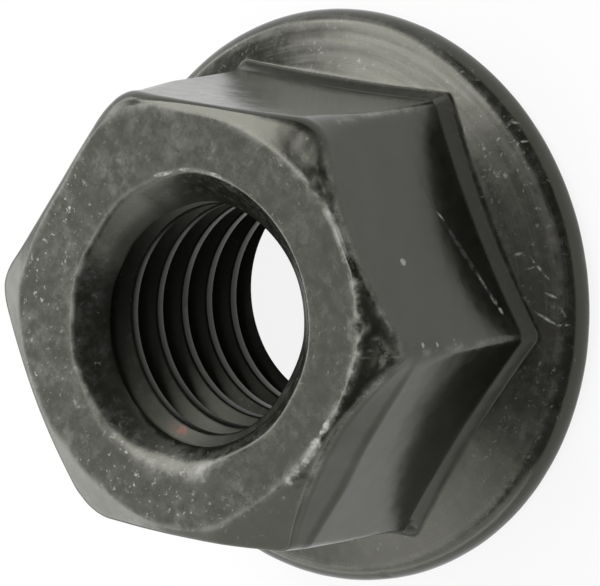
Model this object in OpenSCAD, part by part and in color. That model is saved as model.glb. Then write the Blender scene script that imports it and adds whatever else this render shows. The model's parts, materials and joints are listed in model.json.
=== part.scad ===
// Hexagon flange nut with a metric thread, forged in one piece.
// It locks by its top: two opposite flats are pressed in there, which squeezes the thread's last turns.
// +Z is the bore axis, the bearing face lies on z = 0 and two corners of the hexagon lie on the X axis.

/* [Thread] */
// Nominal diameter of the thread
thread_d = 8; // [7:0.25:8.5]
// Pitch of the thread
thread_pitch = 1.25; // [0.75:0.25:1.5]
// Widening of the top countersink beyond the thread, on the diameter
top_sink = 0.95; // [0.3:0.05:1.4]
// Widening of the bottom countersink beyond the thread, on the diameter
bottom_sink = 0.2; // [0.1:0.05:1]
// Full angle of both countersinks
sink_angle = 90; // [60:5:120]

/* [Hexagon] */
// Width across the flats
across_flats = 13; // [12.5:0.1:15]
// Height from the bearing face to the top face
nut_h = 8.6; // [7.5:0.1:12]
// Width of the top chamfer at the middle of a flat
chamfer_w = 0.3; // [0.15:0.05:0.6]
// Slope of the top chamfer
chamfer_angle = 35; // [20:1:45]

/* [Top lock] */
// Depth to which each pressed flat is pushed in at the middle of its top edge
lock_depth = 0.36; // [0.1:0.02:0.6]
// Height of the pressed band at the middle of the flat
lock_h = 1.6; // [0.8:0.1:2.5]
// Slant of the crease under the pressed band
lock_skew = 4; // [0:1:15]
// Radius of the pressed side's edge on the top face
lock_edge_r = 9; // [8:0.5:20]

/* [Flange] */
// Reach of the flange beyond the flats
flange_reach = 2.35; // [2:0.05:4]
// Height of the rim's top edge
rim_h = 0.95; // [0.8:0.05:1.5]
// Radius of the rim's upper shoulder
rim_top_r = 0.6; // [0.3:0.05:0.7]
// Radius of the rim's lower edge
rim_bottom_r = 0.25; // [0.1:0.05:0.3]
// Slope of the flange's top
flange_slope = 18; // [10:1:30]

/* [Foot bevel] */
// Height of the bevel along the hexagon's foot, above the flange at the middle of a flat
bevel_h = 0.45; // [0.2:0.05:0.8]
// Lean of the bevel away from the flat
bevel_angle = 20; // [10:1:30]

/* [Corner nick] */
// Width of the nick bruised into one corner of the chamfer
nick_w = 1.3; // [0.6:0.1:1.6]
// Depth of the nick
nick_depth = 0.15; // [0.05:0.01:0.25]

/* [Hidden] */
$fn = 96;
// Overlap that keeps cutting and joined faces from lying on one another
slack = 0.3;
// Turn between the flange's top and its rim, which gives the rim a crisp edge
rim_crease = 10;
// Corner that carries the nick, counted as an angle round the axis
nick_turn = 300;
// Depth of a basic metric internal thread as a share of its pitch
thread_share = 0.54127;

bore_r = thread_d / 2 - thread_share * thread_pitch;
top_sink_r = (thread_d + top_sink) / 2;
bottom_sink_r = (thread_d + bottom_sink) / 2;

flat_r = across_flats / 2;
corner_r = flat_r / cos(30);
chamfer_r = flat_r - chamfer_w;
flat_top_z = nut_h - chamfer_w * tan(chamfer_angle);

flange_r = flat_r + flange_reach;
rim_turn = flange_slope + rim_crease;
shoulder_x = flange_r - rim_top_r;
shoulder_z = rim_h - rim_top_r * cos(rim_turn);
rim_edge_r = shoulder_x + rim_top_r * sin(rim_turn);

// Height of the flange's top at a radius
function cone_z(r) = rim_h + (rim_edge_r - r) * tan(flange_slope);

// Heights at the middle of a flat: top of the foot bevel, crease under the pressed band
bevel_top_z = cone_z(flat_r) + bevel_h;
crease_z = flat_top_z - lock_h;
lock_lean = atan(lock_depth / lock_h);

// Section of the flange: sloping top, rounded shoulder, upright rim and rounded lower edge
module flange_section() {
    intersection() {
        polygon([[0, 0], [flange_r, 0], [flange_r, cone_z(flange_r)], [0, cone_z(0)]]);
        union() {
            square([shoulder_x, cone_z(0)]);
            translate([shoulder_x, shoulder_z]) circle(rim_top_r);
            translate([0, rim_bottom_r]) square([flange_r, shoulder_z - rim_bottom_r]);
            translate([flange_r - rim_bottom_r, rim_bottom_r]) circle(rim_bottom_r);
        }
    }
}

module flange() {
    rotate_extrude() flange_section();
}

// Cone that bounds a chamfer with this radius at the top face
module chamfer_cone(top_r) {
    cylinder(h = nut_h, r1 = top_r + nut_h / tan(chamfer_angle), r2 = top_r);
}

// Prism between two opposite flats, with the bevels along their feet
module flat_pair() {
    foot_half = flat_r + (bevel_top_z - rim_h) * tan(bevel_angle);
    side = [[foot_half, 0], [foot_half, rim_h], [flat_r, bevel_top_z], [flat_r, nut_h]];
    far_side = [for (i = [len(side) - 1:-1:0]) [-side[i][0], side[i][1]]];
    rotate([90, 0, 90])
        linear_extrude(height = 4 * corner_r, center = true) polygon(concat(side, far_side));
}

// What the press takes off the -Y flat: all that lies outside a plane leaning in from the slanted crease
module press_block() {
    translate([0, -flat_r, crease_z])
        rotate([-lock_lean, -lock_skew, 0])
            translate([-2 * corner_r, -corner_r, -lock_h]) cube([4 * corner_r, corner_r, 4 * lock_h]);
}

// Hexagon with its chamfers; the pressed sides have flatter ones, set in by the lock's depth
module hexagon() {
    lock_shift = lock_edge_r - (chamfer_r - lock_depth);
    difference() {
        intersection() {
            flat_pair();
            rotate([0, 0, 60]) flat_pair();
            rotate([0, 0, 120]) flat_pair();
            chamfer_cone(chamfer_r);
            translate([0, lock_shift, 0]) chamfer_cone(lock_edge_r);
            translate([0, -lock_shift, 0]) chamfer_cone(lock_edge_r);
        }
        for (turn = [0, 180]) rotate([0, 0, turn]) press_block();
    }
}

// Countersink that opens downwards from z = 0
module countersink(mouth_r) {
    depth = (mouth_r - bore_r) / tan(sink_angle / 2);
    steep = (mouth_r - bore_r) / depth;
    translate([0, 0, -slack]) cylinder(h = depth + slack, r1 = mouth_r + steep * slack, r2 = bore_r);
}

module threaded_bore() {
    translate([0, 0, -slack]) cylinder(h = nut_h + 2 * slack, r = bore_r);
    countersink(bottom_sink_r);
    translate([0, 0, nut_h]) rotate([180, 0, 0]) countersink(top_sink_r);
}

// Shallow bruise on the chamfer of one corner
module corner_nick() {
    ball_r = (nick_w * nick_w / 4 + nick_depth * nick_depth) / (2 * nick_depth);
    mid_r = (chamfer_r + corner_r) / 2;
    mid_z = nut_h - (mid_r - chamfer_r) * tan(chamfer_angle);
    lift = ball_r - nick_depth;
    rotate([0, 0, nick_turn])
        translate([mid_r + lift * sin(chamfer_angle), 0, mid_z + lift * cos(chamfer_angle)])
            sphere(ball_r);
}

module flange_nut() {
    color([0.16, 0.16, 0.15])
        difference() {
            union() {
                flange();
                hexagon();
            }
            threaded_bore();
            corner_nick();
        }
}

flange_nut();
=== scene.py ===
import json
import math

import bpy
from mathutils import Euler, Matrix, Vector, noise


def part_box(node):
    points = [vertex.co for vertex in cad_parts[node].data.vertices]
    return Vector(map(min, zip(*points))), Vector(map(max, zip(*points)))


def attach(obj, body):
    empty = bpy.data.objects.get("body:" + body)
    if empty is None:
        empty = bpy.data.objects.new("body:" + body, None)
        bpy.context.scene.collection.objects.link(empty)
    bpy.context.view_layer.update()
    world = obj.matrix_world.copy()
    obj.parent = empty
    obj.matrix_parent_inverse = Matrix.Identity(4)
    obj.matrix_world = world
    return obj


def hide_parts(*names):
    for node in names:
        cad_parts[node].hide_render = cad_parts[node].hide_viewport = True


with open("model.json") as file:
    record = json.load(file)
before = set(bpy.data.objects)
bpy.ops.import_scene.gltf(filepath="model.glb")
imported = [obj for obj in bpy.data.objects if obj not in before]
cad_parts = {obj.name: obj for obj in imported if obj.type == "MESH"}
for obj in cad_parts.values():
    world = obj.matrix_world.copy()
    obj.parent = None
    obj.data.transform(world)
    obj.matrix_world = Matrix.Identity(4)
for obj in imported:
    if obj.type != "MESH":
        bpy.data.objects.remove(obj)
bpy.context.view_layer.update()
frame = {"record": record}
mm = 0.001  # shapes and marks are in millimetres and degrees, the studio is in metres
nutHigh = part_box("flange_nut")[1]
threadMount = next(m for m in frame["record"]["mounts"] if m["name"] == "thread")


def say(stage):
    print("lock nut:", stage)


def selectOnly(obj):
    bpy.ops.object.select_all(action="DESELECT")
    obj.select_set(True)
    bpy.context.view_layer.objects.active = obj


def startFresh():
    if bpy.context.mode != "OBJECT":
        bpy.ops.object.mode_set(mode="OBJECT")
    bpy.ops.object.select_all(action="DESELECT")


def inEdit(obj):
    selectOnly(obj)
    bpy.ops.object.mode_set(mode="EDIT")
    bpy.ops.mesh.select_all(action="SELECT")


def applyModifier(obj, kind, **settings):
    mod = obj.modifiers.new(kind.lower(), kind)
    for key, value in settings.items():
        setattr(mod, key, value)
    selectOnly(obj)
    bpy.ops.object.modifier_apply(modifier=mod.name)


# nut body: one section is spun round the bore, then each column is set on the six flats
# lists of six or twelve values run evenly round the bore from the +X side
nutShape = {
    "height": round(nutHigh.z / mm, 3),
    "rimRadius": round(nutHigh.x / mm, 3),
    "boreRadius": threadMount["dims"]["r_mm"],
    "boreRound": 0.06,
    "boreZone": 4.3,           # radius inside which a point belongs to the bore
    "flatDistance": 6.5,
    "halfFlat": 3.75,
    "flatShift": {90: 0.06, 210: 0.09},  # flats that stand out a little more
    "flare": {30: (5.6, 0.02)},  # height below which a flat swings out, and how much
    "plainFlare": (3.4, 0.035),
    "arrisFoot": 0.18,         # rounding of the hexagon's corners at the foot
    "arrisTop": (0.9, 1.3, 0.95, 1.1, 0.4, 0.6),  # and at the top
    "arrisRun": (4.5, 3.5),    # height at which it starts to grow, and over what height
    "mouthRadii": (4.5, 4.5, 4.24, 4.08, 4.27, 4.45, 4.53, 4.53, 4.27, 4.36, 4.52, 4.53),
    "mouthRounds": (0.12, 0.16, 0.14, 0.14, 0.12, 0.12, 0.32, 0.5, 0.2, 0.12, 0.1, 0.1),
    "mouthSlope": 40,          # from the bore's axis
    "bottomSinkRadius": 4.1,
    "bottomSinkRound": 0.05,
    "chamferRadii": (6.15, 6.15, 6.7, 6.2, 6.3, 6.25, 6.12, 6.27, 6.2, 6.25, 6.3, 6.36),
    "chamferAngles": (31, 27, 28, 28, 24, 26, 25, 28, 31, 33, 35, 32),
    "chamferRound": 0.09,      # where the top face turns into the chamfer
    "leastChamfer": 0.2,
    "edgeRounds": (0.3, 0.14, 0.32, 0.1, 0.1, 0.1, 0.1, 0.1, 0.1, 0.1, 0.2, 0.26),
    "footTop": 2.1,            # upper edge of the foot bevel, middle of a flat
    "footDrop": 0.33,          # how much lower it runs at the corners
    "footLean": 20,
    "bevelRound": 0.1,
    "footRounds": (0.14, 0.14, 0.1, 0.1, 0.1, 0.1, 0.1, 0.1, 0.04, 0.02, 0.1, 0.16),
    "flangeSlope": 18,
    "rimHeight": 1.01,
    "rimEdgeRound": 0.08,
    "rimRound": 0.75,
    "rimTurn": 21,
    "rimSteps": 8,
    "toeRound": 0.25,
    "toeSteps": 5,
    "columns": 80,             # per flat
    "cornerColumns": 14,       # of those, how many crowd round the corner
    "cornerSpread": 1.4,       # degrees either side of the corner
    "crowdedRows": 0.55,       # share of a wall's rows that goes to its pressed top
    "crowdedHeight": 0.3,      # share of the wall's height that this top takes
    "smoothAngle": 32,         # sharper edges stay crisp
}

# the lock: two opposite flats pressed in along the top, above a crease with a small step
lockShape = {
    "wallDepth": {90: 0.26, 270: 0.36},  # how far each flat is pressed in at its top
    "edgeDepth": {90: 0.28, 270: 0.41},  # and the edge of the top face above it
    "deepest": -1.2,           # place along the flat where it is pushed in most
    "wallReach": (3.3, 4.9),   # left and right of that place
    "wallPower": 4,            # the higher, the more evenly it is pressed
    "edgeReach": (3.3, 4.4),
    "edgePower": 2,
    "edgeTurn": 80,            # degrees round from a pressed flat where its edge ends at the latest
    "creaseLow": 6.66,         # height of the crease at its left and right end
    "creaseHigh": 6.96,
    "creaseRise": (-1.8, 2.4),  # place along the flat where it starts to rise, and over what length
    "bandTop": 8.26,
    "step": 0.2,               # share of the depth that is taken in the step
    "stepHeight": 0.2,         # share of the band's height that the step takes
    "moreChamfer": 9,          # the chamfer is steeper where the press has been
    "moreRound": 0.1,          # and its outer edge rounder
}


def softMin(a, b, blend):
    h = max(0.0, min(1.0, 0.5 + 0.5 * (b - a) / blend))
    return b + (a - b) * h - blend * h * (1 - h)


def smoothStep(x):
    x = max(0.0, min(1.0, x))
    return x * x * (3 - 2 * x)


# how much of the full press reaches this place along a flat
def pressShare(along, part):
    off = along - lockShape["deepest"]
    left, right = lockShape[part + "Reach"]
    return max(0.0, 1 - abs(off / (left if off < 0 else right)) ** lockShape[part + "Power"])


def flatDistance(flat):
    return nutShape["flatDistance"] + nutShape["flatShift"].get(flat % 360, 0.0)


def flatAt(flat, along, z):
    lock = lockShape
    flareTop, flare = nutShape["flare"].get(flat % 360, nutShape["plainFlare"])
    distance = flatDistance(flat) + flare * max(0.0, flareTop - z) ** 2 / 2
    depth = lock["wallDepth"].get(flat % 360, 0.0)
    if depth == 0:
        return distance
    start, length = lock["creaseRise"]
    risen = smoothStep((along - start) / length)
    crease = lock["creaseLow"] + (lock["creaseHigh"] - lock["creaseLow"]) * risen
    above = max(0.0, (z - crease) / (lock["bandTop"] - crease))
    bent = lock["step"] * smoothStep(above / lock["stepHeight"]) + (1 - lock["step"]) * above
    return distance - depth * pressShare(along, "wall") * bent


def footHeight(along):
    out = along / nutShape["halfFlat"]
    return nutShape["footTop"] - nutShape["footDrop"] * min(1.0, out ** 2)


def hexRadius(angle, z, distance):
    home = math.floor(angle / 60) * 60 + 30
    beside = home + (60 if angle > home else -60)
    reach = []
    for flat in (home, beside):
        turn = math.radians(angle - flat)
        along = nutShape["flatDistance"] * math.tan(turn)
        reach.append(distance(flat, along) / math.cos(turn))
    sharp, lipGlint = nutShape["arrisFoot"], nutShape["arrisTop"][round(angle / 60) % 6]
    start, length = nutShape["arrisRun"]
    blend = sharp + (lipGlint - sharp) * smoothStep((z - start) / length)
    return softMin(reach[0], reach[1], blend)


def wallRadius(angle, z):
    return hexRadius(angle, z, lambda flat, along: flatAt(flat, along, z))


def footRadius(angle, z):
    lean = math.tan(math.radians(nutShape["footLean"]))

    def distance(flat, along):
        foot = footHeight(along)
        return flatAt(flat, along, max(z, foot)) + max(0.0, foot - z) * lean

    return hexRadius(angle, z, distance)


# smooth run through values that stand evenly round the axis
def roundRun(values, angle):
    place = angle / 360 * len(values)
    low = math.floor(place)
    share = smoothStep(place - low)
    return values[low % len(values)] * (1 - share) + values[(low + 1) % len(values)] * share


# inner radius and slope of the top chamfer
def chamferAt(angle):
    s = nutShape
    inner = roundRun(s["chamferRadii"], angle)
    slope = roundRun(s["chamferAngles"], angle)
    sector = math.floor(angle / 60) * 60
    push = share = 0.0
    for flat in (sector - 30, sector + 30, sector + 90):
        depth = lockShape["edgeDepth"].get(flat % 360, 0.0)
        if depth and abs(angle - flat) < lockShape["edgeTurn"]:
            along = inner * math.sin(math.radians(angle - flat))
            share = pressShare(along, "edge")
            push = max(push, depth * share)
    slope += lockShape["moreChamfer"] * share
    inner = min(inner - push, wallRadius(angle, lockShape["bandTop"]) - s["leastChamfer"])
    return inner, math.tan(math.radians(slope))


def rimCorner():
    s = nutShape
    turn = math.radians(s["rimTurn"])
    centre = (s["rimRadius"] - s["rimRound"], s["rimHeight"] - s["rimRound"] * math.cos(turn))
    return centre, (centre[0] + s["rimRound"] * math.sin(turn), s["rimHeight"])


def flangeHeight(r):
    edge = rimCorner()[1]
    return edge[1] + (edge[0] - r) * math.tan(math.radians(nutShape["flangeSlope"]))


# corners: point, size of its rounding, points on the rounding, points on the straight after it
def roundedPath(corners):
    points = []
    total = len(corners)
    for i in range(total):
        place, size, rings, span = corners[i]
        nextPlace, nextSize = corners[(i + 1) % total][:2]
        here = Vector(place)
        before = (Vector(corners[i - 1][0]) - here).normalized()
        after = (Vector(nextPlace) - here).normalized()
        first = here + before * size
        last = here + after * size
        for k in range(rings):
            t = k / (rings - 1) if rings > 1 else 0.5
            points.append(first * (1 - t) ** 2 + here * (2 * t * (1 - t)) + last * t * t)
        stop = Vector(nextPlace) - after * nextSize
        for k in range(1, span + 1):
            points.append(last.lerp(stop, k / (span + 1)))
    return points


def crowdTop(down):
    rows, height = nutShape["crowdedRows"], nutShape["crowdedHeight"]
    if down < rows:
        return height * down / rows
    return height + (1 - height) * (down - rows) / (1 - rows)


def sectionAt(angle):
    s = nutShape
    top = s["height"]
    home = math.floor(angle / 60) * 60 + 30
    chamferIn, steep = chamferAt(angle)
    edgeZ = top - 0.3  # first guess of the chamfer's lower edge
    for _ in range(5):
        edgeZ = top - (wallRadius(angle, edgeZ) - chamferIn) * steep
    side = s["flatDistance"] * math.tan(math.radians(angle - home))
    footZ = footHeight(side)
    toeZ = 1.4  # first guess of where the foot meets the flange
    for _ in range(6):
        toeZ = flangeHeight(footRadius(angle, toeZ))
    pressed = pressShare(side, "edge") if home % 360 in lockShape["edgeDepth"] else 0.0
    edgeSoft = roundRun(s["edgeRounds"], angle) + lockShape["moreRound"] * pressed
    mouth = roundRun(s["mouthRadii"], angle)
    lip = roundRun(s["mouthRounds"], angle)
    sink = (mouth - s["boreRadius"]) / math.tan(math.radians(s["mouthSlope"]))
    lowSink = s["bottomSinkRadius"] - s["boreRadius"]
    (rimR, rimZ), rimEdge = rimCorner()
    corners = [
        ((s["boreRadius"], top - sink), s["boreRound"], 3, 6),
        ((mouth, top), lip, 9, 13),
        ((chamferIn, top), s["chamferRound"], 5, 9),
        ((wallRadius(angle, edgeZ), edgeZ), edgeSoft, 6, 42),
        ((wallRadius(angle, footZ), footZ), s["bevelRound"], 5, 5),
        ((footRadius(angle, toeZ), toeZ), roundRun(s["footRounds"], angle), 7, 22),
        (rimEdge, s["rimEdgeRound"], 4, 0),
    ]
    for k in range(1, s["rimSteps"] + 1):
        turn = math.radians((90 - s["rimTurn"]) * (1 - k / s["rimSteps"]))
        place = (rimR + s["rimRound"] * math.cos(turn), rimZ + s["rimRound"] * math.sin(turn))
        corners.append((place, 0, 1, 0))
    toe = s["toeRound"]
    for k in range(s["toeSteps"] + 1):
        turn = math.radians(-90 * k / s["toeSteps"])
        place = (s["rimRadius"] - toe + toe * math.cos(turn), toe + toe * math.sin(turn))
        corners.append((place, 0, 1, 6 if k == s["toeSteps"] else 0))
    corners.append(((s["bottomSinkRadius"], 0), s["bottomSinkRound"], 3, 4))
    corners.append(((s["boreRadius"], lowSink), s["boreRound"], 3, 1))
    # the rows of the wall move to where the press needs them, and follow the flat there
    wallTop, wallFoot = edgeZ - edgeSoft, footZ + s["bevelRound"]
    shaped = []
    for p in roundedPath(corners):
        down = (wallTop - p.y) / (wallTop - wallFoot)
        if 0 < down < 1 and p.x > s["flatDistance"] - 1:
            z = wallTop - (wallTop - wallFoot) * crowdTop(down)
            p = Vector((wallRadius(angle, z), z))
        shaped.append(p)
    return shaped


def columnAngle(j):
    spread, columns = nutShape["cornerSpread"], nutShape["columns"]
    sector, k = divmod(j, columns)
    half = nutShape["cornerColumns"] // 2
    if k <= half:
        turn = spread * k / half
    elif k >= columns - half:
        turn = 60 - spread * (columns - k) / half
    else:
        turn = spread + (60 - 2 * spread) * (k - half) / (columns - 2 * half)
    return sector * 60 + turn


def makeBody():
    startFresh()
    start = sectionAt(0)
    bpy.ops.mesh.primitive_circle_add(vertices=len(start), radius=mm, rotation=(math.pi / 2, 0, 0))
    body = bpy.context.active_object
    body.name = body.data.name = "lockNut"
    bpy.ops.object.transform_apply(location=True, rotation=True, scale=True)
    ring = body.data.attributes.new("ring", "INT", "POINT")
    for i, p in enumerate(start):
        body.data.vertices[i].co = (p.x * mm, 0, p.y * mm)
        ring.data[i].value = i
    inEdit(body)
    steps = 6 * nutShape["columns"]
    bpy.ops.mesh.spin(
        steps=steps,
        angle=2 * math.pi,
        center=(0, 0, 0),
        axis=(0, 0, 1),
        use_auto_merge=True,
    )
    bpy.ops.mesh.select_all(action="SELECT")
    bpy.ops.mesh.remove_doubles(threshold=1e-7)
    bpy.ops.object.mode_set(mode="OBJECT")
    say(f"section of {len(start)} points spun to {len(body.data.vertices)}")
    sections = [sectionAt(columnAngle(j)) for j in range(steps)]
    ring = body.data.attributes["ring"]
    for v in body.data.vertices:
        j = round(math.atan2(v.co.y, v.co.x) / (2 * math.pi) * steps) % steps
        p = sections[j][ring.data[v.index].value]
        turn = math.radians(columnAngle(j))
        v.co = (p.x * mm * math.cos(turn), p.x * mm * math.sin(turn), p.y * mm)
    body.data.attributes.remove(body.data.attributes["ring"])
    inEdit(body)
    bpy.ops.mesh.normals_make_consistent(inside=False)
    bpy.ops.object.mode_set(mode="OBJECT")
    return body


# marks of use: bruised corners, dents and the uneven forged skin
usedMarks = {
    "skin": 0.006,             # height of the unevenness
    "streak": 0.012,           # height of the tool streaks round the flange
    "streakLanes": 2.2,        # streaks per millimetre
    "flangeTop": 1.6,          # height below which the flange's top lies
    "turnedSide": (0.45, 0.4),  # the streaks show on the +X side: where they start, and the fade
    "bruises": (               # place, reach and depth of rough patches on the chamfer
        ((3.42, -5.92, 8.15), 0.8, 0.17),
        ((3.75, -5.1, 8.55), 0.4, 0.2),
        ((6.85, -0.45, 8.1), 0.6, 0.02),
        ((6.2, -1.6, 8.35), 0.5, 0.06),
        ((-1.2, -5.85, 8.5), 0.5, 0.05),
    ),
    "dents": (                 # place, reach and depth of small dents on edges and flange
        ((2.2, 8.5, 0.8), 0.25, 0.06),
        ((-7.6, 4.3, 0.85), 0.22, 0.06),
        ((-6.0, -6.4, 0.8), 0.25, 0.07),
        ((6.7, 3.0, 7.9), 0.22, 0.05),
        ((-7.3, 0.3, 7.9), 0.30, 0.06),
        ((-3.66, -6.66, 1.66), 0.30, 0.13),
    ),
}


def turnedSide(here, r):
    start, fade = usedMarks["turnedSide"]
    return smoothStep((here.x / r - start) / fade)


def ageSkin(body):
    m = usedMarks
    normals = [v.normal.copy() for v in body.data.vertices]
    for v, normal in zip(body.data.vertices, normals):
        here = v.co / mm
        r = math.hypot(here.x, here.y)
        if r < nutShape["boreZone"] or here.z < 0.05:
            continue
        push = m["skin"] * (noise.noise(here * 0.9) + 0.4 * noise.noise(here * 2.7))
        if here.z < m["flangeTop"] and normal.z > 0.85:
            lane = Vector((here.x / r, here.y / r, r * m["streakLanes"]))
            ridges = noise.noise(lane) + 0.5 * noise.noise(lane * 2.3)
            push += m["streak"] * (0.25 + turnedSide(here, r)) * ridges
        for place, reach, depth in m["bruises"]:
            near = smoothStep(1.15 - (here - Vector(place)).length / reach)
            if near:
                lumps = noise.noise(here * 2.9) + 0.5 * noise.noise(here * 6.3)
                push -= depth * near * (0.35 + 0.9 * lumps)
        for place, reach, depth in m["dents"]:
            near = smoothStep(1 - (here - Vector(place)).length / reach)
            if near:
                push -= depth * near * (0.8 + 0.7 * noise.noise(here * 7.0))
        v.co += normal * push * mm
    say("skin aged")


# thread: the groove's outline runs up a screw and is taken out of the bore
threadShape = {
    "pitch": 1.25,
    "majorRadius": 4.0,
    "flank": 30,
    "crestHalf": 0.36,         # half widths of the groove at the crest and the root, per pitch
    "rootHalf": 0.0625,
    "overcut": 0.16,           # how far the cutter stands into the bore
    # rounding of the crest: out from the bore's radius, and wider than the groove there
    "crestRound": ((-0.005, 0.070), (0.006, 0.030), (0.030, -0.005), (0.059, -0.025)),
    "phase": 0.661,            # height of the groove's middle at the +X side
    "turns": 8,
    "turnsBelow": 2,           # of those, how many lie below that height
    "steps": 108,
}


def cutThread(body):
    t = threadShape
    pitch, crest, root = t["pitch"], nutShape["boreRadius"], t["majorRadius"]
    flank = math.tan(math.radians(t["flank"]))
    crestHalf, rootHalf = t["crestHalf"] * pitch, t["rootHalf"] * pitch
    groove = [(crest - t["overcut"], crestHalf + t["overcut"] * flank + 0.02)]
    groove += [(crest + out, crestHalf + wider) for out, wider in t["crestRound"]]
    groove += [
        (root - 0.1, rootHalf + 0.1 * flank),
        (root - 0.03, rootHalf + 0.01),
        (root, rootHalf * 0.5),
    ]
    outline = [(r, -h) for r, h in groove] + [(r, h) for r, h in reversed(groove)]
    startFresh()
    bpy.ops.mesh.primitive_circle_add(vertices=len(outline), radius=mm)
    cutter = bpy.context.active_object
    low = t["phase"] - t["turnsBelow"] * pitch
    for v, (r, h) in zip(cutter.data.vertices, outline):
        v.co = (r * mm, 0, (low + h) * mm)
    applyModifier(
        cutter,
        "SCREW",
        angle=2 * math.pi,
        screw_offset=pitch * mm,
        iterations=t["turns"],
        steps=t["steps"],
        render_steps=t["steps"],
        use_merge_vertices=False,
    )
    inEdit(cutter)
    bpy.ops.mesh.remove_doubles(threshold=1e-8)
    bpy.ops.mesh.select_all(action="DESELECT")
    bpy.ops.mesh.select_non_manifold()
    bpy.ops.mesh.fill_holes(sides=0)
    bpy.ops.mesh.select_all(action="SELECT")
    bpy.ops.mesh.normals_make_consistent(inside=False)
    bpy.ops.object.mode_set(mode="OBJECT")
    applyModifier(body, "BOOLEAN", object=cutter, operation="DIFFERENCE", solver="MANIFOLD")
    bpy.data.objects.remove(cutter)
    say(f"thread cut, {len(body.data.polygons)} faces")


def bell(distance, reach):
    return math.exp(-(distance / reach) ** 2)


# the press also bulges the bore's upper turns out to one side
boreBulge = {
    "angle": 212,
    "spread": 42,
    "depth": 0.26,
    "from": 4.2,               # height where it starts
    "over": 2.6,               # and over what height it grows
    "outside": 3.95,           # radius at which it has faded out
    "fade": 0.45,
}


def bulgeBore(body):
    b = boreBulge
    for v in body.data.vertices:
        here = v.co / mm
        r = math.hypot(here.x, here.y)
        if r < nutShape["boreZone"] and here.z > b["from"]:
            angle = math.degrees(math.atan2(here.y, here.x)) % 360
            inner = smoothStep((b["outside"] - r) / b["fade"])
            share = smoothStep((here.z - b["from"]) / b["over"]) * inner
            grow = 1 + b["depth"] * share * bell(angle - b["angle"], b["spread"]) / r
            v.co.x, v.co.y = v.co.x * grow, v.co.y * grow


# marks of the finish: a side is start, fade, end and fade in degrees round, an edge is share and reach
finishMarks = {
    "deepZone": (4.1, 7.7),    # radius and height inside which all is bore
    "deepFade": (3.8, 0.3),
    "topZone": (3.9, 6.8),     # radius and height from which the upper edges are
    "wallZone": (6, 2.2),
    "flangeZone": 6.4,
    "dustRise": (0.2, 0.75),   # how far up a face looks before dust lies on it, and the fade
    "boreDust": 0.75,          # share of the dust that the bore is spared
    "topDust": (0.86, 0.5),    # share on the top face, and how it changes along the next direction
    "dustyWay": (-0.643, 0.766),
    "chamferDust": 0.12,
    "flangeDust": (0.45, 0.3),  # share on the flange, and more on its turned side
    # the chamfer's inner edge is rubbed pale with a painted highlight, most on this side
    "chamferWearAndHighlightSide": (245, 15, 358, 12),
    "chamferLeast": 0.25,      # share of the rubbing and painted highlight that goes all the way round
    "chamferEdge": (1.3, 0.12),
    "outerReach": 0.16,
    "lipSide": (90, 20, 230, 15),
    "lipEdge": (0.25, 0.09),
    "lipMore": 0.35,
    "lipGlintSide": (184, 16, 242, 16),  # where the mouth is rounded most; its lip is rubbed pale there, partly a painted highlight
    "lipGlintMore": (0.6, 0.22),
    "pressedSkin": 0.06,
    "cornerEdge": (0.45, 1.0),  # reach in degrees
    "rimEdge": (0.2, 0.12),
    "toeEdge": (0.5, 0.15),
    "toeHeight": 0.12,
    "footPaintedShade": (0.65, 290, 12),  # painted shade: part of the foot bevel whose reflection is taken off as in the bore, to darken it
}


def sideShare(angle, side):
    start, rise, end, fall = finishMarks[side]
    return smoothStep((angle - start) / rise) * smoothStep((end - angle) / fall)


def edgeShare(edge, away):
    share, reach = finishMarks[edge]
    return share * bell(away, reach)


# rubbing of the upper edges, partly a painted highlight on the chamfer's inner edge and on the mouth's
# lower lip, and whether the place is outside the top face
def wearAndHighlightTop(r, z, up, angle):
    f, top = finishMarks, nutShape["height"]
    chamferIn, steep = chamferAt(angle)
    wornAndHighlit = f["chamferLeast"] + (1 - f["chamferLeast"]) * sideShare(angle, "chamferWearAndHighlightSide")
    wearAndHighlight = wornAndHighlit * edgeShare("chamferEdge", math.hypot(r - chamferIn, z - top))
    lip, reach = f["lipEdge"]
    more, moreReach = f["lipGlintMore"]
    lip += f["lipMore"] * sideShare(angle, "lipSide")
    lipGlint = sideShare(angle, "lipGlintSide")
    away = math.hypot(r - roundRun(nutShape["mouthRadii"], angle), z - top)
    wearAndHighlight = max(wearAndHighlight, (lip + more * lipGlint) * bell(away, reach + moreReach * lipGlint))
    outside = r > chamferIn + 0.1
    if outside:
        if up < 0.75:
            wearAndHighlight = max(wearAndHighlight, f["pressedSkin"] * smoothStep(up / 0.2))
        wall = wallRadius(angle, lockShape["bandTop"])
        edge = math.hypot(r - wall, z - top + (wall - chamferIn) * steep)
        wearAndHighlight = max(wearAndHighlight, (wornAndHighlit - f["chamferLeast"]) * bell(edge, f["outerReach"]))
    return wearAndHighlight, outside


def rubbedRim(r, z):
    edgeR, edgeZ = rimCorner()[1]
    edge = edgeShare("rimEdge", math.hypot(r - edgeR, z - edgeZ))
    away = math.hypot(r - nutShape["rimRadius"], z - finishMarks["toeHeight"])
    return max(edge, edgeShare("toeEdge", away))
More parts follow.
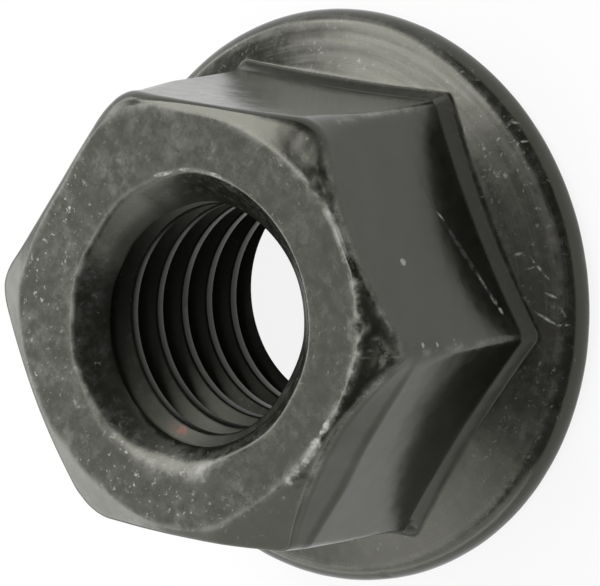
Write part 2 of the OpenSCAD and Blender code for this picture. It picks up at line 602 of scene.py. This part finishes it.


# where the finish is rubbed pale (partly a painted highlight), dusty, bruised, or in the bore, where
# the reflection is dulled as painted shade (also on part of the foot bevel): the four parts of an
# attribute
def markFinish(body):
    f, top = finishMarks, nutShape["height"]
    finish = body.data.attributes.new("finish", "FLOAT_COLOR", "POINT")
    values = []
    for v in body.data.vertices:
        here = v.co / mm
        r, z, up = math.hypot(here.x, here.y), here.z, v.normal.z
        angle = math.degrees(math.atan2(here.y, here.x)) % 360
        wearAndHighlight = dusty = bruised = 0.0
        boreAndPaintedShade = smoothStep((f["deepFade"][0] - r) / f["deepFade"][1])
        if r < f["deepZone"][0] and z < f["deepZone"][1]:
            boreAndPaintedShade = 1.0
        if z > 0.1:
            dusty = smoothStep((up - f["dustRise"][0]) / f["dustRise"][1]) * (1 - f["boreDust"] * boreAndPaintedShade)
        if z > top - 0.1:
            drift = (here.y * f["dustyWay"][1] + here.x * f["dustyWay"][0]) / nutShape["flatDistance"]
            dusty *= f["topDust"][0] + f["topDust"][1] * drift
        if r > f["topZone"][0] and z > f["topZone"][1]:
            wearAndHighlight, outside = wearAndHighlightTop(r, z, up, angle)
            if outside:
                dusty *= f["chamferDust"]
        elif r > f["wallZone"][0] and z > f["wallZone"][1]:
            wearAndHighlight = edgeShare("cornerEdge", (angle + 30) % 60 - 30)
        elif r > f["flangeZone"]:
            dusty *= f["flangeDust"][0] + f["flangeDust"][1] * turnedSide(here, r)
            # painted shade: this part of the foot bevel gets the bore's dulled reflection
            if z > 1.3 and up < 0.8 and angle > 180:
                share, start, fade = f["footPaintedShade"]
                boreAndPaintedShade = share * smoothStep((angle - start) / fade)
            wearAndHighlight = rubbedRim(r, z)
        for place, reach, _ in usedMarks["bruises"] + usedMarks["dents"]:
            bruised = max(bruised, smoothStep(1.25 - (here - Vector(place)).length / reach))
        values.extend((wearAndHighlight, dusty, bruised, boreAndPaintedShade))
    finish.data.foreach_set("color", values)
    say("finish marked")


body = makeBody()
ageSkin(body)
cutThread(body)
bulgeBore(body)
markFinish(body)
selectOnly(body)
bpy.ops.object.shade_smooth_by_angle(angle=math.radians(nutShape["smoothAngle"]))

# black oxide: dark and glossy, with a film of dust, pale specks, rubbed edges that are partly a
# painted highlight, a few scuffs, a painted reflection line on one flat, and reflection dulled as
# painted shade in the bore
steelLook = {
    "black": (0.005, 0.005, 0.0034, 1),
    "film": (0.072, 0.073, 0.070, 1),
    "speck": (0.30, 0.30, 0.285, 1),
    # pale of the rubbed edges, partly a painted highlight
    "wearAndHighlight": (0.28, 0.28, 0.26, 1),
    "scuffAndReflection": (0.42, 0.42, 0.40, 1),
    "streak": (0.078, 0.070, 0.074, 1),
    "rust": (0.15, 0.035, 0.025, 1),
    "rough": 0.13,
    "roughSpread": 0.08,
    "dustyRough": 0.14,        # added where the dust lies
    "bruisedRough": 0.25,      # added on bruises and rubbed edges
    "boreRough": 0.15,
    "borePaintedShade": 0.22,          # painted shade: reflection taken off inside the bore
    "bend": 1.6,               # index of refraction of the skin
    "reflectTint": (1, 1, 0.86, 1),
    "bareFilm": 0.07,          # thin film where no dust lies
    "cloudScale": 1000,        # scales of the patterns, per metre
    "fineScale": 3200,
    "laneScale": 3400,
    "patchScale": 330,
    "smearScale": 2100,
    "smearPatchScale": 420,
    "brokenScale": 1100,
    "gritScale": 4200,
    "scuffAndReflectionScale": 2600,
    "grainScale": 1500,
    "pitScale": 5200,
    "specks": ((5600, 0.62), (2700, 0.65)),  # scale, and level from which a speck shows
    "pitDepth": 3.0,
    "bumpStrength": 0.25,
    "bumpHeight": 0.00002,
    # spots, scuffs and a painted reflection line: place, turn, half sizes along, across and through
    "rustSpot": ((-3.55, -0.95, 7.33), (0, 0, 20), (0.26, 0.5, 0.24)),
    "scuffsAndReflectionLine": (
        # painted reflection: these four make a pale line where the flat mirrors the flange's pale
        # nicks
        ((4.69, -4.87, 2.73), (0, -21.4, 60), (0.32, 0.3, 0.08)),
        ((4.40, -5.38, 2.50), (0, -21.4, 60), (0.26, 0.3, 0.11)),
        ((4.22, -5.69, 2.36), (0, -21.4, 60), (0.20, 0.3, 0.09)),
        ((5.80, -2.95, 3.59), (0, -40, 60), (0.3, 0.3, 0.05)),
        ((3.93, -6.19, 7.2), (0, 0, 0), (0.07, 0.2, 0.07)),
        ((3.88, -6.29, 6.76), (0, 0, 0), (0.08, 0.2, 0.08)),
        ((3.86, -6.32, 6.06), (0, 0, 0), (0.07, 0.2, 0.07)),
        ((3.86, -6.32, 5.18), (0, 0, 0), (0.09, 0.2, 0.09)),
        ((5.18, -4.02, 6.26), (0, 0, 0), (0.10, 0.2, 0.16)),
        ((3.06, 3.17, 8.6), (0, 0, 136), (0.42, 0.09, 0.1)),
        ((3.72, 2.51, 8.6), (0, 0, 124), (0.42, 0.09, 0.1)),
        ((4.22, 1.62, 8.6), (0, 0, 111), (0.42, 0.09, 0.1)),
        ((0.55, -5.82, 8.58), (0, 0, 6), (0.4, 0.13, 0.2)),
        ((-0.15, -5.84, 8.58), (0, 0, 0), (0.45, 0.22, 0.2)),
        ((-0.8, -5.83, 8.58), (0, 0, -5), (0.4, 0.13, 0.2)),
        ((-1.4, -5.78, 8.58), (0, 0, -10), (0.5, 0.22, 0.2)),
        ((-2.23, -5.80, 8.45), (0, 0, 15), (0.17, 0.13, 0.15)),
        ((-2.51, -5.87, 8.36), (0, 0, 15), (0.10, 0.08, 0.15)),
        ((-2.73, -5.92, 8.28), (0, 0, 15), (0.14, 0.11, 0.15)),
        ((-2.91, -5.96, 8.22), (0, 0, 15), (0.08, 0.06, 0.15)),
        ((-3.12, -6.01, 8.15), (0, 0, 15), (0.12, 0.09, 0.15)),
    ),
    # painted reflection: a faint long mark along the same line, in the streak colour
    "paintedReflectionLine": ((5.08, -4.2, 3.03), (0, -21.4, 60), (2.25, 0.3, 0.13)),
    "flangeMarks": (           # radius, angle round, turn and half length of thin scratches
        (7.29, 319.3, -37, 0.31),
        (7.55, 315.7, -37, 0.20),
        (7.83, 315.3, -103, 0.65),
        (8.06, 309.3, -76, 0.29),
        (7.91, 304.3, -85, 0.63),
        (8.36, 306.2, -110, 0.33),
        (8.58, 346.6, 14, 0.18),
        (8.68, 346.1, -68, 0.21),
        (8.66, 341.6, -45, 0.19),
        (8.22, 327.8, -61, 0.14),
        (8.44, 303.0, -49, 0.24),
    ),
}


def addNode(tree, kind, links=(), **settings):
    made = tree.nodes.new("ShaderNode" + kind)
    for key, value in settings.items():
        if hasattr(made, key):
            setattr(made, key, value)
        else:
            made.inputs[key].default_value = value
    for socket, source in links:
        tree.links.new(source, made.inputs[socket])
    return made


def rangeOf(tree, source, low, high, least=0.0, most=1.0):
    made = addNode(tree, "MapRange", [("Value", source)], interpolation_type="SMOOTHSTEP")
    for key, value in (("From Min", low), ("From Max", high), ("To Min", least), ("To Max", most)):
        made.inputs[key].default_value = value
    return made.outputs["Result"]


def maths(tree, operation, first, second):
    made = addNode(tree, "Math", operation=operation)
    for i, part in enumerate((first, second)):
        if isinstance(part, (int, float)):
            made.inputs[i].default_value = part
        else:
            tree.links.new(part, made.inputs[i])
    return made.outputs[0]


def layOver(tree, under, over, share):
    made = addNode(tree, "Mix", [("Factor", share)], data_type="RGBA")
    for i, part in ((6, under), (7, over)):
        if isinstance(part, tuple):
            made.inputs[i].default_value = part
        else:
            tree.links.new(part, made.inputs[i])
    return made.outputs[2]


def noiseOf(tree, place, scale, detail=4.0, rough=0.55):
    made = addNode(tree, "TexNoise", [("Vector", place)])
    for key, value in (("Scale", scale), ("Detail", detail), ("Roughness", rough)):
        made.inputs[key].default_value = value
    return made.outputs["Fac"]


# 1 inside a small ellipsoid, fading to 0 at its skin
def dab(tree, place, spot, turn, halves):
    spotFrame = addNode(tree, "Mapping", [("Vector", place)], vector_type="TEXTURE")
    spotFrame.inputs["Location"].default_value = Vector(spot) * mm
    spotFrame.inputs["Rotation"].default_value = [math.radians(a) for a in turn]
    spotFrame.inputs["Scale"].default_value = Vector(halves) * mm
    away = addNode(tree, "VectorMath", [(0, spotFrame.outputs[0])], operation="LENGTH")
    return rangeOf(tree, away.outputs["Value"], 1.0, 0.55)


def blackSteel():
    look = steelLook
    mat = bpy.data.materials.new("blackSteel")
    mat.use_nodes = True
    tree = mat.node_tree
    shader = tree.nodes["Principled BSDF"]
    place = addNode(tree, "TexCoord").outputs["Object"]
    finish = addNode(tree, "Attribute", attribute_name="finish")
    parts = addNode(tree, "SeparateColor", [("Color", finish.outputs["Color"])])
    wearAndHighlight, dusty, bruised = (parts.outputs[k] for k in ("Red", "Green", "Blue"))
    boreAndPaintedShade = finish.outputs["Alpha"]

    def times(first, second):
        return maths(tree, "MULTIPLY", first, second)

    def plus(first, second):
        return maths(tree, "ADD", first, second)

    def larger(first, second):
        return maths(tree, "MAXIMUM", first, second)

    def pattern(scale, detail=4.0, rough=0.55):
        return noiseOf(tree, place, look[scale], detail, rough)

    # lanes round the bore, which show on the turned side of the flange
    flatPlace = addNode(tree, "VectorMath", [(0, place)], operation="MULTIPLY")
    flatPlace.inputs[1].default_value = (1, 1, 0)
    flatPlace = flatPlace.outputs[0]
    far = addNode(tree, "VectorMath", [(0, flatPlace)], operation="LENGTH").outputs["Value"]
    around = addNode(tree, "VectorMath", [(0, flatPlace)], operation="NORMALIZE").outputs[0]
    lane = addNode(tree, "CombineXYZ", [("Z", times(far, look["laneScale"]))]).outputs[0]
    lane = addNode(tree, "VectorMath", [(0, lane), (1, around)], operation="ADD").outputs[0]
    lanes = noiseOf(tree, lane, 1.3, 5, 0.65)
    height = addNode(tree, "SeparateXYZ", [("Vector", place)]).outputs["Z"]
    side = addNode(tree, "SeparateXYZ", [("Vector", around)]).outputs["X"]
    onFlange = rangeOf(tree, height, 0.0018, 0.0014)
    onFlange = times(onFlange, rangeOf(tree, side, 0.35, 0.85, 0.25, 1))

    # dust film, thicker in clouds
    cloud = pattern("cloudScale", 4, 0.6)
    fine = pattern("fineScale", 6, 0.65)
    film = times(rangeOf(tree, cloud, 0.35, 0.68, 0.25, 1), rangeOf(tree, fine, 0.35, 0.72))
    film = times(film, dusty)
    film = plus(film, rangeOf(tree, cloud, 0.4, 0.7, 0.0, look["bareFilm"]))
    colour = layOver(tree, look["black"], look["film"], film)
    streaks = times(rangeOf(tree, lanes, 0.5, 0.68), onFlange)
    colour = layOver(tree, colour, look["streak"], times(streaks, 0.5))

    # pale specks, small ones and larger ones, in patches
    patches = rangeOf(tree, pattern("patchScale", 3), 0.4, 0.66, 0.15, 1)
    patches = times(patches, dusty)
    for scale, least in look["specks"]:
        specks = rangeOf(tree, noiseOf(tree, place, scale, 3, 0.6), least, least + 0.09)
        colour = layOver(tree, colour, look["speck"], times(specks, patches))
    smears = rangeOf(tree, pattern("smearScale", 6, 0.72), 0.6, 0.7)
    smears = times(smears, rangeOf(tree, pattern("smearPatchScale", 2), 0.5, 0.68))
    smears = times(smears, times(dusty, 0.5))
    colour = layOver(tree, colour, look["speck"], smears)

    # edges rubbed pale with a painted highlight, grit on the bruises, scuffs, and a painted reflection
    # line on the flat at 330 degrees
    broken = rangeOf(tree, pattern("brokenScale", 5, 0.7), 0.38, 0.68)
    paleMarksAndPaintedLight = times(broken, wearAndHighlight)
    grit = rangeOf(tree, pattern("gritScale", 4, 0.7), 0.6, 0.75)
    paleMarksAndPaintedLight = larger(paleMarksAndPaintedLight, times(times(grit, bruised), 0.6))
    scuffsAndReflectionLine = list(look["scuffsAndReflectionLine"])
    for r, angle, turn, half in look["flangeMarks"]:
        bearing = math.radians(angle)
        spot = (r * math.cos(bearing), r * math.sin(bearing), flangeHeight(r))
        scuffsAndReflectionLine.append((spot, (0, 0, turn), (half, 0.05, 0.3)))
    scuffedAndReflected = 0.0
    for scuffAndReflection in scuffsAndReflectionLine:
        scuffedAndReflected = larger(dab(tree, place, *scuffAndReflection), scuffedAndReflected)
    scuffedAndReflected = times(scuffedAndReflected, rangeOf(tree, pattern("scuffAndReflectionScale", 4, 0.7), 0.4, 0.65))
    # painted reflection: faint line on the flat where it mirrors the flange's nicks
    reflectionLine = dab(tree, place, *look["paintedReflectionLine"])
    reflectionLine = times(reflectionLine, rangeOf(tree, fine, 0.35, 0.65, 0, 0.9))
    colour = layOver(tree, colour, look["streak"], reflectionLine)
    colour = layOver(tree, colour, look["wearAndHighlight"], paleMarksAndPaintedLight)
    colour = layOver(tree, colour, look["scuffAndReflection"], scuffedAndReflected)
    paleMarksAndPaintedLight = larger(paleMarksAndPaintedLight, scuffedAndReflected)
    rust = dab(tree, place, *look["rustSpot"])
    rust = times(rust, rangeOf(tree, fine, 0.44, 0.6, 0.1, 1))
    colour = layOver(tree, colour, look["rust"], rust)
    tree.links.new(colour, shader.inputs["Base Color"])

    # roughness and reflection; the reflection is lowered as painted shade in the bore and on part of
    # the foot bevel
    rough = rangeOf(tree, fine, 0.2, 0.8, look["rough"], look["rough"] + look["roughSpread"])
    rough = plus(rough, times(dusty, look["dustyRough"]))
    rough = plus(rough, times(larger(bruised, paleMarksAndPaintedLight), look["bruisedRough"]))
    rough = plus(rough, times(rangeOf(tree, lanes, 0.35, 0.65, -0.05, 0.09), onFlange))
    rough = plus(rough, times(boreAndPaintedShade, look["boreRough"]))
    tree.links.new(rough, shader.inputs["Roughness"])
    shadedShine = maths(tree, "SUBTRACT", 0.5, times(boreAndPaintedShade, look["borePaintedShade"]))
    tree.links.new(shadedShine, shader.inputs["Specular IOR Level"])
    shader.inputs["IOR"].default_value = look["bend"]
    shader.inputs["Specular Tint"].default_value = look["reflectTint"]

    # fine grain, and pits on the bruises
    grain = times(pattern("grainScale", 4), 0.8)
    grain = plus(grain, times(fine, 0.5))
    pits = times(pattern("pitScale", 5, 0.7), bruised)
    grain = plus(grain, times(pits, look["pitDepth"]))
    bump = addNode(tree, "Bump", [("Height", grain)])
    bump.inputs["Strength"].default_value = look["bumpStrength"]
    bump.inputs["Distance"].default_value = look["bumpHeight"]
    tree.links.new(bump.outputs[0], shader.inputs["Normal"])
    return mat


body.data.materials.clear()
body.data.materials.append(blackSteel())
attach(body, "root")
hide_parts("flange_nut")
say("black finish on")

# studio: white sweep with a raised edge, soft lamps behind and beside the nut
studio = {
    "floorRadius": 0.4,
    "floorSides": 96,
    "lip": 0.1,                # height and reach of the raised edge
    "lipSteps": 8,
    "white": (0.78, 0.78, 0.78, 1),
    "plainWhite": 0.88,        # share of plain white that the camera and reflections see
    "worldLevel": 0.13,
    "lampReach": 0.35,
    "aim": (0, 0, 0.004),
    # shape, direction round and up, width and height as angles, brightness
    "lamps": {
        "keySoftbox": ("RECTANGLE", 67, 41, 33, 52, 5.7),
        "overSoftbox": ("ELLIPSE", 143, 70, 30, 14, 4.5),
        "backSoftbox": ("ELLIPSE", 148, 44, 68, 56, 1.0),
        "sideSoftbox": ("ELLIPSE", 186, 50, 36, 32, 1.4),
        "lowSideSoftbox": ("ELLIPSE", 204, 17, 84, 40, 1.4),
        "topSoftbox": ("ELLIPSE", 30, 80, 40, 40, 0.45),
        "lowSoftbox": ("ELLIPSE", 125, 11, 92, 20, 2.5),
    },
}


def paleFloor():
    mat = bpy.data.materials.new("paleFloor")
    mat.use_nodes = True
    tree = mat.node_tree
    tree.nodes.clear()
    out = addNode(tree, "OutputMaterial")
    plain = addNode(tree, "BsdfDiffuse", Color=studio["white"])
    white = addNode(tree, "Emission", Strength=1.0)
    path = addNode(tree, "LightPath")
    seen = maths(tree, "MAXIMUM", path.outputs["Is Camera Ray"], path.outputs["Is Glossy Ray"])
    seen = maths(tree, "MAXIMUM", seen, path.outputs["Is Transmission Ray"])
    share = maths(tree, "MULTIPLY", seen, studio["plainWhite"])
    mix = addNode(tree, "MixShader", [(0, share), (1, plain.outputs[0]), (2, white.outputs[0])])
    tree.links.new(mix.outputs[0], out.inputs["Surface"])
    return mat


def makeSweep():
    startFresh()
    wide = studio["floorRadius"]
    bpy.ops.mesh.primitive_circle_add(vertices=studio["floorSides"], radius=wide, fill_type="NGON")
    sweep = bpy.context.active_object
    sweep.name = "studioSweep"
    inEdit(sweep)
    bpy.ops.mesh.select_mode(type="EDGE")
    bpy.ops.mesh.select_all(action="DESELECT")
    bpy.ops.mesh.select_non_manifold()
    height = 0.0
    for k in range(1, studio["lipSteps"] + 1):
        turn = math.radians(90 * k / studio["lipSteps"])
        newWide = studio["floorRadius"] + studio["lip"] * math.sin(turn)
        newHeight = studio["lip"] * (1 - math.cos(turn))
        rise = newHeight - height
        bpy.ops.mesh.extrude_edges_move(TRANSFORM_OT_translate={"value": (0, 0, rise)})
        grow = newWide / wide
        bpy.ops.transform.resize(value=(grow, grow, 1), center_override=(0, 0, 0))
        wide, height = newWide, newHeight
    bpy.ops.mesh.select_mode(type="VERT")
    bpy.ops.object.mode_set(mode="OBJECT")
    bpy.ops.object.shade_smooth()
    sweep.data.materials.append(paleFloor())


def addLamp(name, shape, azimuth, elevation, width, height, brightness):
    startFresh()
    around, above = math.radians(azimuth), math.radians(elevation)
    level = math.cos(above)
    way = Vector((level * math.cos(around), level * math.sin(around), math.sin(above)))
    bpy.ops.object.light_add(
        type="AREA",
        location=Vector(studio["aim"]) + way * studio["lampReach"],
        rotation=(-way).to_track_quat("-Z", "Y").to_euler(),
    )
    lamp = bpy.context.active_object
    lamp.name = name
    lamp.data.shape = shape
    lamp.data.size = 2 * studio["lampReach"] * math.tan(math.radians(width / 2))
    lamp.data.size_y = 2 * studio["lampReach"] * math.tan(math.radians(height / 2))
    face = lamp.data.size * lamp.data.size_y * (math.pi / 4 if shape == "ELLIPSE" else 1)
    lamp.data.energy = brightness * math.pi * face


makeSweep()
for name, setting in studio["lamps"].items():
    addLamp(name, *setting)
say("studio lit")

world = bpy.data.worlds.new("studio")
bpy.context.scene.world = world
world.use_nodes = True
world.node_tree.nodes["Background"].inputs["Color"].default_value = (1, 1, 1, 1)
world.node_tree.nodes["Background"].inputs["Strength"].default_value = studio["worldLevel"]

# camera: where the photograph was taken from
photoView = {
    "place": (80.645, -78.188, 154.692),
    "turn": (-6.3588, 35.9863, -55.0003),
    "lens": 371.207,
    "sensor": 36,
    "near": 0.001,
    "far": 10,
}

startFresh()
bpy.ops.object.camera_add(
    location=Vector(photoView["place"]) * mm,
    rotation=Euler([math.radians(a) for a in photoView["turn"]]),
)
camera = bpy.context.active_object
camera.data.sensor_width = photoView["sensor"]
camera.data.lens = photoView["lens"]
camera.data.clip_start = photoView["near"]
camera.data.clip_end = photoView["far"]
bpy.context.scene.camera = camera
bpy.context.scene.view_settings.view_transform = "Standard"


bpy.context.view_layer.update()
say("done")
